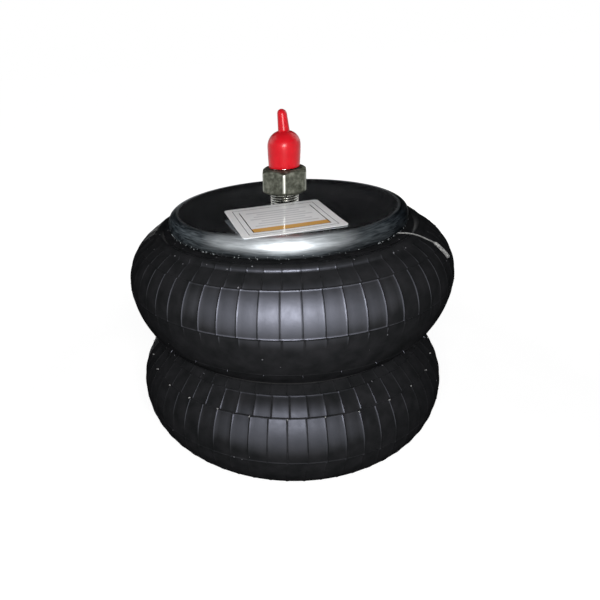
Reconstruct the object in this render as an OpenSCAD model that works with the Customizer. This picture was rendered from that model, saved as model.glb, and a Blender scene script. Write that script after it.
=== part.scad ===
// Double-convolution air bellows actuator with crimped bead plates, drawn at its free height.
// Millimetres, +Z up. The origin is the centre of the lower bead plate's outer face.
// Each half of the bellows is drawn above the waist plane, and the lower half is its mirror image.

/* [Bellows] */
// Distance between the outer faces of the two bead plates
free_height = 177; // [165:1:195]
// Outermost radius of each convolution
bulge_r = 112; // [108:0.5:120]
// Height of each convolution's crown above or below the waist plane
crown_rise = 43.5; // [40:0.5:46]
// Radius of the convolution's section between the crown and the waist
flank_r = 52; // [49:0.5:60]
// Height of the round moulded collar that stands on the shoulder outside the plate's rim
collar_rise = 2; // [1.4:0.1:3]
// Width of the collar where it meets the shoulder
collar_w = 7; // [6:0.2:9]
// Clearance between the collar and the rim
collar_gap = 3; // [1:0.1:4]

/* [Bellows wall] */
// Thickness of the outer rubber cover
cover_t = 2; // [1.5:0.1:2.6]
// Thickness of each rubberised cord ply
ply_t = 0.9; // [0.6:0.1:1.2]
// Thickness of the airtight inner liner
liner_t = 1.6; // [1:0.1:2.2]
// Bond line between two layers of the wall, and round a bead wire
bond_gap = 0.1; // [0.05:0.05:0.2]

/* [Girdle hoop] */
// Radius of the hoop's round section
hoop_wire_r = 3.7; // [3:0.1:4.2]

/* [Bead plates] */
// Outer radius of the crimped rim
plate_r = 80.5; // [78:0.5:83]
// Thickness of the pressed steel
plate_t = 2.3; // [1.8:0.1:2.5]
// Outer radius of the bend between the flat face and the skirt
rim_round = 5.5; // [4:0.5:6.5]
// Height of the crimped rim
skirt_h = 11.4; // [11:0.2:14]
// Outer radius of the bend where the skirt curls under the bead
curl_round = 3; // [2.8:0.1:4]
// How far the curled lip reaches in under the bead
lip_reach = 5.2; // [4.6:0.2:6.4]
// Clearance between the rubber and the steel that holds it, and between the nut and the cap
seat_gap = 0.3; // [0.2:0.05:0.4]

/* [Beads] */
// Radial width of the chafer strip that wraps the bead wire
chafer_w = 12; // [10:0.5:14]
// Radius of the bead wire bundle
wire_r = 2.4; // [1.6:0.1:2.5]

/* [Air stud] */
// Thread radius of the combined mounting and air stud
stud_r = 9.525; // [8:0.1:11]
// Length of stud above the upper plate
stud_h = 38.1; // [30:0.1:39]
// Chamfer at the stud's free end
stud_chamfer = 1.2; // [0.8:0.1:2]
// Radius of the welded flange inside the upper plate
flange_r = 14.5; // [13:0.5:18]
// Thickness of that flange
flange_t = 4; // [3:0.5:6]
// Wall radius of the tapped air port
port_r = 5.56; // [4.5:0.05:6.2]
// Depth of the tapped air port
port_depth = 15; // [11:0.5:18]
// Radius of the air passage below the port
passage_r = 3; // [2:0.25:4]
// Clearance of pressed-in parts in the plates
press_gap = 0.05; // [0.02:0.01:0.1]

/* [Stud nut] */
// Distance across the nut's flats
nut_af = 28.575; // [26:0.1:32]
// Height of the nut
nut_h = 16.27; // [12:0.1:17]
// Height of the nut's seat above the upper plate
nut_lift = 8.2; // [5:0.1:10]
// Radial clearance of the nut on the stud
thread_gap = 0.075; // [0.05:0.005:0.1]
// Radius of the flat ring left at each end of the nut
nut_face_r = 12.7; // [11.5:0.1:14]
// Slope of the chamfer that breaks the nut's corners, in degrees
nut_chamfer_slope = 38; // [20:1:45]
// Turn of the nut about the stud, in degrees
nut_turn = -9.5; // [-30:0.5:30]

/* [Stud cap] */
// Wall of the soft cap
cap_wall = 1.2; // [0.8:0.1:1.8]
// Radius of the dome's round shoulder
cap_dome_r = 9.2; // [6:0.1:10]
// Room left over the stud's end before the dome starts
cap_slack = 1.4; // [0:0.1:3]
// How much the wall thins towards the cap's open end
mouth_taper = 0.6; // [0:0.1:0.7]
// Clearance between the cap and the stud
cap_gap = 0.075; // [0.05:0.005:0.1]
// Radius of the pull finger where it leaves the dome
finger_root_r = 3.7; // [2.4:0.1:4.4]
// Radius of the pull finger's round tip
finger_tip_r = 3.1; // [1.8:0.1:3.6]
// Radius of the fillet between the finger and the dome
finger_fillet = 1; // [0.6:0.1:1.6]
// Height of the pull finger above the dome
finger_h = 13; // [9:0.2:16]

/* [Blind nuts] */
// Distance between the two blind nuts of the lower plate
bolt_pitch = 69.85; // [60:0.05:80]
// Radius of the tapped hole's wall
tap_r = 3.97; // [3.4:0.01:5]
// Depth of the tapped hole
tap_depth = 15; // [12:0.5:16]
// Radius of the nut's body inside the lower plate
blind_r = 10; // [9:0.5:12]
// Height of the nut's body above the lower plate
blind_h = 16.5; // [16:0.5:20]
// Radius of the spigot that fills the hole in the plate
spigot_r = 7.5; // [6.5:0.1:8.5]

/* [Hidden] */
$fn = 96;

// A cut runs this far past the face that it opens
cut = 1;
// Length of a drill's point as a share of its radius, for a point of 118 degrees
drill_point = 0.6;

// Height of a plate's outer face, its curled edge and the bead's seat above the waist plane
half_h = free_height / 2;
curl_z = half_h - skirt_h;
bead_z = curl_z + plate_t + seat_gap;
plate_in_z = half_h - plate_t;

// The shoulder ends just under the curled edge
shoulder_r = curl_z - seat_gap - crown_rise;
shoulder_x = bulge_r - shoulder_r;
lip_r = plate_r - lip_reach;
neck_r = lip_r - seat_gap;

// The collar is the top of a round bead that is sunk into the shoulder
collar_r = (collar_rise * collar_rise + collar_w * collar_w / 4) / (2 * collar_rise);
collar_x = plate_r + collar_gap + collar_r;
collar_reach = shoulder_r + collar_rise - collar_r;
collar_z = crown_rise + sqrt(pow(collar_reach, 2) - pow(collar_x - shoulder_x, 2));

// Where each layer starts, measured in from the outer skin
outer_ply_in = cover_t + bond_gap;
inner_ply_in = outer_ply_in + ply_t + bond_gap;
liner_in = inner_ply_in + ply_t + bond_gap;

// The two flanks meet at this radius, and the hoop lies just inside it
waist_r = bulge_r - flank_r + sqrt(flank_r * flank_r - crown_rise * crown_rise);
hoop_ring_r = waist_r - hoop_wire_r;
groove_r = hoop_wire_r + seat_gap;

chafer_out_r = plate_r - plate_t - seat_gap;
chafer_in_r = chafer_out_r - chafer_w;
wire_ring_r = (chafer_out_r + chafer_in_r) / 2;
wire_z = (bead_z + plate_in_z - seat_gap) / 2;

// Stations of the stud's pieces above the lower plate's face
nut_z = free_height + nut_lift;
cap_z = nut_z + nut_h + seat_gap;
cap_in_r = stud_r + cap_gap;
cap_out_r = cap_in_r + cap_wall;
// The cap's dome starts a little above the stud's chamfer
cap_body_h = free_height + stud_h - stud_chamfer + cap_slack - cap_z;
cap_dome_x = cap_out_r - cap_dome_r;

// Puts an upper half's outline on the part, turned into a solid ring
module upper_ring() {
    translate([0, 0, half_h]) rotate_extrude() children();
}

// The same ring for the lower half, mirrored in the waist plane
module lower_ring() {
    translate([0, 0, half_h]) mirror([0, 0, 1]) rotate_extrude() children();
}

// Half section of all that lies inside the skin, drawn in by inset and run past its open ends by over
module inside_of_skin(inset, over) {
    difference() {
        union() {
            intersection() {
                translate([shoulder_x, crown_rise]) circle(r = shoulder_r - inset);
                translate([shoulder_x, crown_rise]) square(shoulder_r + cut);
            }
            intersection() {
                translate([bulge_r - flank_r, crown_rise]) circle(r = flank_r - inset);
                translate([bulge_r - flank_r, -over]) square([flank_r + cut, crown_rise + over]);
            }
            translate([0, crown_rise]) square([shoulder_x, shoulder_r - inset]);
            translate([0, -over]) square([bulge_r - flank_r, crown_rise + over]);
            square([neck_r - inset, bead_z + over]);
        }
        translate([hoop_ring_r, 0]) circle(r = groove_r + inset);
    }
}

// Half section of one layer of the wall
module wall_layer(start, thickness) {
    difference() {
        inside_of_skin(start, 0);
        inside_of_skin(start + thickness, cut);
    }
}

// Half section of the outer cover with its collar
module cover_outline() {
    difference() {
        union() {
            inside_of_skin(0, 0);
            translate([collar_x, collar_z]) circle(r = collar_r);
        }
        inside_of_skin(cover_t, cut);
    }
}

// Half section of the crimped rim's outline, drawn in by inset
module rim_outline(inset) {
    rim_x = plate_r - rim_round;
    curl_x = plate_r - curl_round;
    low_z = curl_z + inset;
    high_z = half_h - inset;
    translate([rim_x, half_h - rim_round]) circle(r = rim_round - inset);
    translate([curl_x, curl_z + curl_round]) circle(r = curl_round - inset);
    translate([0, low_z]) square([rim_x, high_z - low_z]);
    translate([0, low_z]) square([curl_x, curl_round]);
    translate([0, curl_z + curl_round]) square([plate_r - inset, skirt_h - curl_round - rim_round]);
}

// Half section of a bead plate: pressed disc, bent skirt and the lip curled under the bead
module plate_outline() {
    difference() {
        rim_outline(0);
        rim_outline(plate_t);
        translate([0, curl_z - cut]) square([lip_r, plate_t + 2 * cut]);
    }
}

// Half section of the chafer strip, seated inside the crimp and hollow for its wire
module chafer_outline() {
    difference() {
        rim_outline(plate_t + seat_gap);
        translate([0, curl_z]) square([chafer_in_r, skirt_h]);
        translate([wire_ring_r, wire_z]) circle(r = wire_r + bond_gap);
    }
}

module wire_outline() {
    translate([wire_ring_r, wire_z]) circle(r = wire_r);
}

module lower_bead_plate() {
    color("silver") difference() {
        lower_ring() plate_outline();
        at_blind_nuts() translate([0, 0, -cut]) cylinder(r = spigot_r + press_gap, h = plate_t + 2 * cut);
    }
}

module lower_bead_wire() {
    color("goldenrod") lower_ring() wire_outline();
}

module lower_bead_chafer() {
    color("dimgray") lower_ring() chafer_outline();
}

module lower_cover() {
    color("#222226") lower_ring() cover_outline();
}

module lower_outer_ply() {
    color("tan") lower_ring() wall_layer(outer_ply_in, ply_t);
}

module lower_inner_ply() {
    color("wheat") lower_ring() wall_layer(inner_ply_in, ply_t);
}

module lower_liner() {
    color("#333338") lower_ring() wall_layer(liner_in, liner_t);
}

// Stands its children on both bolt centres of the lower plate
module at_blind_nuts() {
    for (side = [-1, 1]) translate([side * bolt_pitch / 2, 0, 0]) children();
}

// Pressed-in nuts: a spigot flush with the plate, a closed body and a tapped hole with a drill point
module blind_nuts() {
    color("silver") at_blind_nuts() rotate_extrude() polygon([
        [tap_r, 0],
        [spigot_r, 0],
        [spigot_r, plate_t],
        [blind_r, plate_t],
        [blind_r, plate_t + blind_h],
        [0, plate_t + blind_h],
        [0, tap_depth + drill_point * tap_r],
        [tap_r, tap_depth]
    ]);
}

module girdle_hoop() {
    color("gray") upper_ring() translate([hoop_ring_r, 0]) circle(r = hoop_wire_r);
}

module upper_bead_plate() {
    color("silver") difference() {
        upper_ring() plate_outline();
        translate([0, 0, free_height - plate_t - cut])
            cylinder(r = stud_r + press_gap, h = plate_t + 2 * cut);
    }
}

module upper_bead_wire() {
    color("goldenrod") upper_ring() wire_outline();
}

module upper_bead_chafer() {
    color("dimgray") upper_ring() chafer_outline();
}

module upper_cover() {
    color("#222226") upper_ring() cover_outline();
}

module upper_outer_ply() {
    color("tan") upper_ring() wall_layer(outer_ply_in, ply_t);
}

module upper_inner_ply() {
    color("wheat") upper_ring() wall_layer(inner_ply_in, ply_t);
}

module upper_liner() {
    color("#333338") upper_ring() wall_layer(liner_in, liner_t);
}

// Combined stud: welded flange below the plate, threaded shank above it, and the air way through both
module air_stud() {
    foot_z = -plate_t - flange_t;
    port_end_z = stud_h - port_depth;
    color("lightgray") translate([0, 0, free_height]) rotate_extrude() polygon([
        [passage_r, foot_z],
        [flange_r, foot_z],
        [flange_r, -plate_t],
        [stud_r, -plate_t],
        [stud_r, stud_h - stud_chamfer],
        [stud_r - stud_chamfer, stud_h],
        [port_r, stud_h],
        [port_r, port_end_z],
        [passage_r, port_end_z - drill_point * (port_r - passage_r)]
    ]);
}

// Hexagon nut with both ends turned down to its flats, and a clearance hole for the stud's thread
module stud_nut() {
    corner_r = nut_af / 2 / cos(30);
    chamfer_h = (corner_r - nut_face_r) * tan(nut_chamfer_slope);
    hole_r = stud_r + thread_gap;
    color("#8f8f84") translate([0, 0, nut_z]) rotate(nut_turn - 90) difference() {
        intersection() {
            cylinder(r = corner_r, h = nut_h, $fn = 6);
            rotate_extrude() polygon([
                [0, 0],
                [nut_face_r, 0],
                [corner_r, chamfer_h],
                [corner_r, nut_h - chamfer_h],
                [nut_face_r, nut_h],
                [0, nut_h]
            ]);
        }
        translate([0, 0, -cut]) cylinder(r = hole_r, h = nut_h + 2 * cut);
    }
}

// Half section of the cap's skin, drawn in by inset: straight wall, round shoulder and flat crown
module cap_outline(inset) {
    intersection() {
        translate([cap_dome_x, cap_body_h]) circle(r = cap_dome_r - inset);
        translate([cap_dome_x, cap_body_h]) square(cap_dome_r + cut);
    }
    translate([0, cap_body_h]) square([cap_dome_x, cap_dome_r - inset]);
    square([cap_out_r - inset, cap_body_h]);
}

// Half section of the pull finger, rooted in the middle of the dome's wall, with a fillet round its foot
module finger_outline() {
    root_z = cap_body_h + cap_dome_r - cap_wall / 2;
    tip_z = cap_body_h + cap_dome_r + finger_h - finger_tip_r;
    fillet_x = finger_root_r + finger_fillet;
    fillet_out = cap_dome_r + finger_fillet;
    fillet_z = cap_body_h + sqrt(pow(fillet_out, 2) - pow(fillet_x - cap_dome_x, 2));
    touch = cap_dome_r / fillet_out;
    touch_x = cap_dome_x + touch * (fillet_x - cap_dome_x);
    touch_z = cap_body_h + touch * (fillet_z - cap_body_h);
    polygon([
        [0, root_z],
        [finger_root_r, root_z],
        [finger_root_r, fillet_z],
        [finger_tip_r, tip_z],
        [0, tip_z]
    ]);
    difference() {
        polygon([[0, root_z], [touch_x, root_z], [touch_x, touch_z], [fillet_x, fillet_z], [0, fillet_z]]);
        translate([fillet_x, fillet_z]) circle(r = finger_fillet);
    }
    intersection() {
        translate([0, tip_z]) circle(r = finger_tip_r);
        translate([0, tip_z]) square(finger_tip_r + cut);
    }
}

// Soft push-on cap over the stud's end: a thin mouth, a domed top and a pull finger
module stud_cap() {
    color("crimson") translate([0, 0, cap_z]) rotate_extrude() difference() {
        union() {
            cap_outline(0);
            finger_outline();
        }
        cap_outline(cap_wall);
        square([cap_in_r, cap_body_h]);
        polygon([
            [cap_out_r - mouth_taper, 0],
            [cap_out_r + cut, 0],
            [cap_out_r + cut, cap_body_h],
            [cap_out_r, cap_body_h]
        ]);
    }
}

lower_bead_plate();
lower_bead_wire();
lower_bead_chafer();
lower_cover();
lower_outer_ply();
lower_inner_ply();
lower_liner();
blind_nuts();
girdle_hoop();
upper_bead_plate();
upper_bead_wire();
upper_bead_chafer();
upper_cover();
upper_outer_ply();
upper_inner_ply();
upper_liner();
air_stud();
stud_nut();
stud_cap();
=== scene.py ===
# %% [markdown]
# # A rubber air bellows between two steel plates
# An air bellows is a short, thick rubber bag with a waist. Air under pressure makes it longer, and a load
# makes it shorter again. This lesson dresses the finished CAD part: every size and place stays, and each
# piece gets the surface that a maker would know it by. Lengths are in millimetres here, and in metres
# once they reach Blender.

# %% Load the part
import math
import random

import bmesh
import bpy
import numpy as np
from mathutils import Matrix, Vector


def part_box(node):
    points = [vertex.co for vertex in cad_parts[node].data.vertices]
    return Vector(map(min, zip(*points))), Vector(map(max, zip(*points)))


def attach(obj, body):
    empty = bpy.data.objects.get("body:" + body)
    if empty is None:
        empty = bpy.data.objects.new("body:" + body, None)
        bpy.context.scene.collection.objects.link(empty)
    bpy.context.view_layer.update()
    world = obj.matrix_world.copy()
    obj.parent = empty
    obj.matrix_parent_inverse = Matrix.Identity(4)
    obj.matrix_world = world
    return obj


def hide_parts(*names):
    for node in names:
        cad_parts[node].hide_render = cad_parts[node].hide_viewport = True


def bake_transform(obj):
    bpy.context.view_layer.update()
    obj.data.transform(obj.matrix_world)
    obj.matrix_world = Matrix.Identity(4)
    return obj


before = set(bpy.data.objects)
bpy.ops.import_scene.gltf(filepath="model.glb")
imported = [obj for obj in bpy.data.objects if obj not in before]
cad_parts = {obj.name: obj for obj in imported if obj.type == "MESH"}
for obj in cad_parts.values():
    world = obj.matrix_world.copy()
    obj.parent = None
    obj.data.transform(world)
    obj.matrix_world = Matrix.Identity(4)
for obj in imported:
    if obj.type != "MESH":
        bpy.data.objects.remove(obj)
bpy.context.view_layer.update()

MM = 0.001

# %% [markdown]
# ## The camera
# The part was photographed from close by, a little above, with the lens aimed to the left of it. A shift
# of the lens gives that framing without turning the camera, so upright edges lean as they do in the photo.

# %% Camera
IMAGE_SIDE = 600
SENSOR_W = 36
FOCAL_PX = 522.5
OPTICAL_CENTRE_PX = (215, 328)
CAMERA_DISTANCE = 401.3
CAMERA_TILT = math.radians(27.54)
CAMERA_ROLL = math.radians(-4.89)
CAMERA_AIM = Vector((-55.05, 0, 85.47))

look = Vector((0, math.cos(CAMERA_TILT), -math.sin(CAMERA_TILT)))
sideways_level = Vector((1, 0, 0))
upright = Vector((0, math.sin(CAMERA_TILT), math.cos(CAMERA_TILT)))
image_right = math.cos(CAMERA_ROLL) * sideways_level + math.sin(CAMERA_ROLL) * upright
image_up = math.cos(CAMERA_ROLL) * upright - math.sin(CAMERA_ROLL) * sideways_level

lens = bpy.data.cameras.new("photo_lens")
lens.sensor_width = SENSOR_W
lens.lens = SENSOR_W * FOCAL_PX / IMAGE_SIDE
lens.shift_x = 0.5 - OPTICAL_CENTRE_PX[0] / IMAGE_SIDE
lens.shift_y = OPTICAL_CENTRE_PX[1] / IMAGE_SIDE - 0.5
camera = bpy.data.objects.new("photo_camera", lens)
bpy.context.scene.collection.objects.link(camera)
camera.matrix_world = Matrix((image_right, image_up, -look)).transposed().to_4x4()
camera.location = (CAMERA_AIM - look * CAMERA_DISTANCE) * MM
bpy.context.scene.camera = camera
bpy.context.scene.view_settings.view_transform = "Standard"
print("camera at", [round(x / MM) for x in camera.location], "lens", round(lens.lens, 1))

# %% [markdown]
# ## Shader nodes by the handful
# Every finish below is a small tree of nodes, so one helper adds a node of any kind. A kind's second word is
# its operation. Colours are written as sRGB hex values and turned to the linear values that the renderer
# works in. Some inputs go by number, because their names repeat: in a Mix node 0 is the share, 2 and 3 are
# numbers and 6 and 7 are colours. In a Map Range node 1 and 2 are the limits of what goes in, and 3 and 4
# of what comes out.

# %% Node helpers
def linear(hex_colour):
    """An sRGB colour such as #A0B0C0 as linear red, green, blue and alpha."""
    parts = [int(hex_colour[i:i + 2], 16) / 255 for i in (1, 3, 5)]
    return [x / 12.92 if x <= 0.04045 else ((x + 0.055) / 1.055) ** 2.4 for x in parts] + [1.0]


def feed(node, inputs):
    """Sets each input of a node to a value, or links it to an output or to a node's first output in use."""
    for name, value in inputs.items():
        if isinstance(value, bpy.types.Node):
            value = next(output for output in value.outputs if output.enabled)
        if isinstance(value, bpy.types.NodeSocket):
            node.id_data.links.new(value, node.inputs[name])
        else:
            node.inputs[name].default_value = value


def add(tree, kind, inputs=None, stops=(), **settings):
    """Adds a shader node with its settings and inputs; stops are (place, colour) pairs of a colour ramp."""
    kind, *operation = kind.split()
    node = tree.nodes.new("ShaderNode" + kind)
    if operation:
        node.operation = operation[0]
    for name, value in settings.items():
        setattr(node, name, value)
    for i, (place, colour) in enumerate(stops):
        ramp = node.color_ramp.elements
        stop = ramp[i] if i < 2 else ramp.new(place)
        stop.position = place
        stop.color = linear(colour)
    feed(node, inputs or {})
    return node


print("mid grey in linear light:", round(linear("#808080")[0], 3))

# %% [markdown]
# ## The room
# Black rubber and bright plating show what stands round them more than they show their own colour. The
# walls are white. Only a stretch of the far wall is dim, above a low white backdrop, so the flat plate
# mirrors dark towards the lens, as it does in a dim workshop. The camera, metal and glass see the same
# room. A world has no walls to build: its colour is worked out from the direction in which a ray leaves.

# %% Walls
ROOM_WHITE = "#FFFFFF"
ROOM_DIM = "#161618"
FAR_DIM = "#0C0C0E"
ROOM_CEILING = "#6C6C6E"
WALL_STOPS = [(0.34, ROOM_WHITE), (0.5, ROOM_DIM), (0.95, ROOM_CEILING)]
FAR_STOPS = [(0.1, ROOM_WHITE), (0.135, FAR_DIM), (0.5, FAR_DIM), (0.95, ROOM_CEILING)]
FAR_SIDE = (0.17, 0.95, 0.26)
FAR_EDGE = (0.87, 0.945)


def facing(tree, direction, side, start, full, most=1.0):
    """A smooth step from 0 to most as a direction turns towards a side; start and full are cosines."""
    cosine = add(tree, "VectorMath DOT_PRODUCT", {0: direction, 1: side})
    return add(tree, "MapRange", {"Value": cosine, 1: start, 2: full, 4: most},
               interpolation_type="SMOOTHSTEP")


def shown(tree):
    """1 for the rays by which the camera, metal and glass see the background, and 0 for stray light."""
    seen = add(tree, "LightPath").outputs
    straight = add(tree, "Math MAXIMUM", {0: seen["Is Camera Ray"], 1: seen["Is Glossy Ray"]})
    return add(tree, "Math MAXIMUM", {0: straight, 1: seen["Is Transmission Ray"]})


room = bpy.data.worlds.new("white_room_with_dim_far_wall")
bpy.context.scene.world = room
room.use_nodes = True
tree = room.node_tree
direction = add(tree, "TexCoord").outputs["Generated"]
height = add(tree, "SeparateXYZ", {"Vector": direction}).outputs["Z"]
white_walls = add(tree, "ValToRGB", {"Fac": height}, stops=WALL_STOPS)
far_wall = add(tree, "ValToRGB", {"Fac": height}, stops=FAR_STOPS)
on_far_wall = facing(tree, direction, FAR_SIDE, *FAR_EDGE)
walls = add(tree, "Mix", {0: on_far_wall, 6: white_walls, 7: far_wall}, data_type="RGBA")
wall_light = add(tree, "Mix", {0: shown(tree), 6: linear(ROOM_DIM), 7: walls}, data_type="RGBA")
feed(tree.nodes["Background"], {"Color": wall_light, "Strength": 1.0})
print("world:", room.name)

# %% [markdown]
# ## The floor
# The part stands on a wide sheet of white paper. It glows white for the camera, a little less near the
# part, and takes the lamps' light as a grey, so that the part's shadow shows on it.

# %% Floor
FLOOR_SIDE = 40.0
FLOOR_DROP = 0.2 * MM
GLOW = (0.86, 1.0)
GLOW_REACH = (0.25, 0.6)


def finish(name):
    """A new material with its node tree, its surface shader and the place on the piece in metres."""
    made = bpy.data.materials.new(name)
    made.use_nodes = True
    tree = made.node_tree
    return made, tree, tree.nodes["Principled BSDF"], add(tree, "TexCoord").outputs["Object"]


def per_metre(size_mm):
    """How often a pattern of that size repeats in a metre."""
    return 1 / (size_mm * MM)


def mottled(tree, place, size_mm, stops, detail=4, roughness=0.5):
    """Noise with clouds of that size, and the colour that a ramp gives it."""
    noise = add(tree, "TexNoise", {"Vector": place, "Scale": per_metre(size_mm), "Detail": detail,
                                   "Roughness": roughness})
    return noise, add(tree, "ValToRGB", {"Fac": noise}, stops=stops)


half = FLOOR_SIDE / 2
corners = [(x, y, -FLOOR_DROP) for x, y in ((-half, -half), (half, -half), (half, half), (-half, half))]
floor_mesh = bpy.data.meshes.new("white_floor")
floor_mesh.from_pydata(corners, [], [(0, 1, 2, 3)])
floor = bpy.data.objects.new("white_floor", floor_mesh)
bpy.context.scene.collection.objects.link(floor)

paper, tree, shader, place = finish("white_paper_sweep")
_, tone = mottled(tree, place, 40, [(0.0, "#8E8E8E"), (1.0, "#969696")], detail=2)
away = add(tree, "VectorMath LENGTH", {0: place})
glow = add(tree, "MapRange", {"Value": away, 1: GLOW_REACH[0], 2: GLOW_REACH[1], 3: GLOW[0], 4: GLOW[1]})
seen_glow = add(tree, "Math MULTIPLY", {0: shown(tree), 1: glow})
feed(shader, {"Base Color": tone, "Roughness": 0.9, "Specular IOR Level": 0.0,
              "Emission Color": linear(ROOM_WHITE), "Emission Strength": seen_glow})
floor_mesh.materials.append(paper)
print("floor:", FLOOR_SIDE, "m wide")

# %% [markdown]
# ## The lamps
# One soft lamp stands beside the lens like a camera's flash, and gives the rubber its grey highlights. Two
# weak lamps behind the part keep its back from going black.

# %% Lamps
PART_MIDDLE = (0, 0, 110)
FLASH_BESIDE_LENS = 8
FLASH_BELOW_LENS = 12
FLASH_BEHIND_LENS = 20
BACK_LAMP = (900, 420, 800)


def lamp(name, place, aim, size, power):
    """A square soft lamp; place and aim are in mm, its side too, and its power in watts."""
    light = bpy.data.lights.new(name, "AREA")
    light.size = size * MM
    light.energy = power
    made = bpy.data.objects.new(name, light)
    bpy.context.scene.collection.objects.link(made)
    made.location = Vector(place) * MM
    made.rotation_euler = (Vector(aim) - Vector(place)).to_track_quat("-Z", "Y").to_euler()


lens_place = CAMERA_AIM - look * (CAMERA_DISTANCE + FLASH_BEHIND_LENS)
flash_place = lens_place + image_right * FLASH_BESIDE_LENS - image_up * FLASH_BELOW_LENS
lamp("flash_lamp", flash_place, PART_MIDDLE, size=120, power=1.7)
for side in (-1, 1):
    lamp(f"back_lamp_{side}", (side * BACK_LAMP[0], *BACK_LAMP[1:]), PART_MIDDLE, size=900, power=3.8)

# %% [markdown]
# ## The bellows' section
# The skin runs from the groove of the girdle hoop, out along a flat flank to the crown, round a tighter
# shoulder and in under the plate's curled rim. Two arcs that share the crown's height give it. The same
# section, drawn in by a millimetre or two at a time, gives all the layers of the wall.

# %% Section of the wall
plate_low, plate_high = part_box("upper_bead_plate")
_, cover_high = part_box("upper_cover")
hoop_low, hoop_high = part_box("girdle_hoop")
FACE_Z = plate_high.z / MM
PLATE_R = plate_high.x / MM
RIM_Z = plate_low.z / MM
WAIST_Z = (hoop_low.z + hoop_high.z) / 2 / MM
BULGE_R = cover_high.x / MM
BEAD_RISE = cover_high.z / MM - WAIST_Z
HOOP_WIRE_R = (hoop_high.z - hoop_low.z) / 2 / MM
HOOP_RING_R = hoop_high.x / MM - HOOP_WIRE_R

SEAT_GAP = 0.3
CROWN_RISE = 43.5
FLANK_R = 52.0
SHOULDER_R = RIM_Z - WAIST_Z - SEAT_GAP - CROWN_RISE
FLANK_X = BULGE_R - FLANK_R
SHOULDER_X = BULGE_R - SHOULDER_R
LIP_REACH = 5.2
NECK_R = PLATE_R - LIP_REACH - SEAT_GAP


def arc(x, z, radius, start, end, steps):
    """(radius, height) points along an arc about (x, z), from one angle in degrees to another."""
    turn = np.radians(np.linspace(start, end, steps + 1))
    return np.stack([x + radius * np.cos(turn), z + radius * np.sin(turn)], axis=-1)


def lip_angles(inset):
    """Where the hoop's groove meets the flank: the angle in degrees about each of their centres."""
    groove, flank = HOOP_WIRE_R + SEAT_GAP + inset, FLANK_R - inset
    apart = math.hypot(HOOP_RING_R - FLANK_X, CROWN_RISE)
    towards = math.degrees(math.atan2(CROWN_RISE, FLANK_X - HOOP_RING_R))
    at_groove = math.acos((groove ** 2 + apart ** 2 - flank ** 2) / (2 * groove * apart))
    at_flank = math.acos((flank ** 2 + apart ** 2 - groove ** 2) / (2 * flank * apart))
    return towards - math.degrees(at_groove), towards - 180 + math.degrees(at_flank)


def groove_part(inset, steps):
    """The stretch of the section that lies round the hoop, from the waist plane to the groove's lip."""
    return arc(HOOP_RING_R, 0, HOOP_WIRE_R + SEAT_GAP + inset, 180, lip_angles(inset)[0], steps)


def neck_part(inset):
    """The stretch under the plate's rim, from the shoulder's end to the bead."""
    return [[NECK_R - inset, CROWN_RISE + SHOULDER_R - inset], [NECK_R - inset, BEAD_RISE]]


def section(inset, steps):
    """The whole section, drawn in by inset: (radius, height above the waist) from the waist to the bead."""
    flank = arc(FLANK_X, CROWN_RISE, FLANK_R - inset, lip_angles(inset)[1], 0, steps)
    shoulder = arc(SHOULDER_X, CROWN_RISE, SHOULDER_R - inset, 0, 90, steps)
    return np.concatenate([groove_part(inset, steps // 2), flank[1:], shoulder[1:], neck_part(inset)])


print("section: bulge", round(BULGE_R, 1), "shoulder", round(SHOULDER_R, 2), "neck", round(NECK_R, 2))

# %% [markdown]
# ## Moulded black rubber
# The cover is natural rubber with carbon black, vulcanised in a steel mould. The mould's polish leaves it
# satin, softer where release agent stayed on, with specks of dust, most of them on the shoulder below the
# plate. The collar near the rim is rubbed smoother.

# %% Rubber: colour and gloss
SPECK_SPACING = 5
SPECK_R = 0.09
DUST_Z = (140.0, 162.0)
DUST_RARITY = (0.93, 0.55)
COLLAR_Z = (157.0, 161.0)
COLLAR_SHARE = 0.7
rubber, tree, shader, place = finish("moulded_black_rubber")
height = add(tree, "SeparateXYZ", {"Vector": place}).outputs["Z"]
_, tone = mottled(tree, place, 9, [(0.3, "#191A1B"), (0.75, "#252527")], detail=5)
speck = add(tree, "TexVoronoi", {"Vector": place, "Scale": per_metre(SPECK_SPACING)}).outputs
near = add(tree, "Math LESS_THAN", {0: speck["Distance"], 1: SPECK_R})
lot = add(tree, "SeparateColor", {"Color": speck["Color"]}).outputs["Red"]
rarity = add(tree, "MapRange", {"Value": height, 1: DUST_Z[0] * MM, 2: DUST_Z[1] * MM,
                                3: DUST_RARITY[0], 4: DUST_RARITY[1]})
drawn = add(tree, "Math GREATER_THAN", {0: lot, 1: rarity})
speck_here = add(tree, "Math MULTIPLY", {0: near, 1: drawn})
dusty = add(tree, "Mix", {0: speck_here, 6: tone, 7: linear("#6E6E72")}, data_type="RGBA")
bloom = add(tree, "TexNoise", {"Vector": place, "Scale": per_metre(4), "Detail": 6})
satin = add(tree, "MapRange", {"Value": bloom, 1: 0.3, 2: 0.7, 3: 0.45, 4: 0.54})
smoother = add(tree, "MapRange", {"Value": height, 1: COLLAR_Z[0] * MM, 2: COLLAR_Z[1] * MM,
                                  3: 1.0, 4: COLLAR_SHARE})
sheen = add(tree, "Math MULTIPLY", {0: satin, 1: smoother})
print("rubber: specks", SPECK_SPACING, "mm apart")
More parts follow.
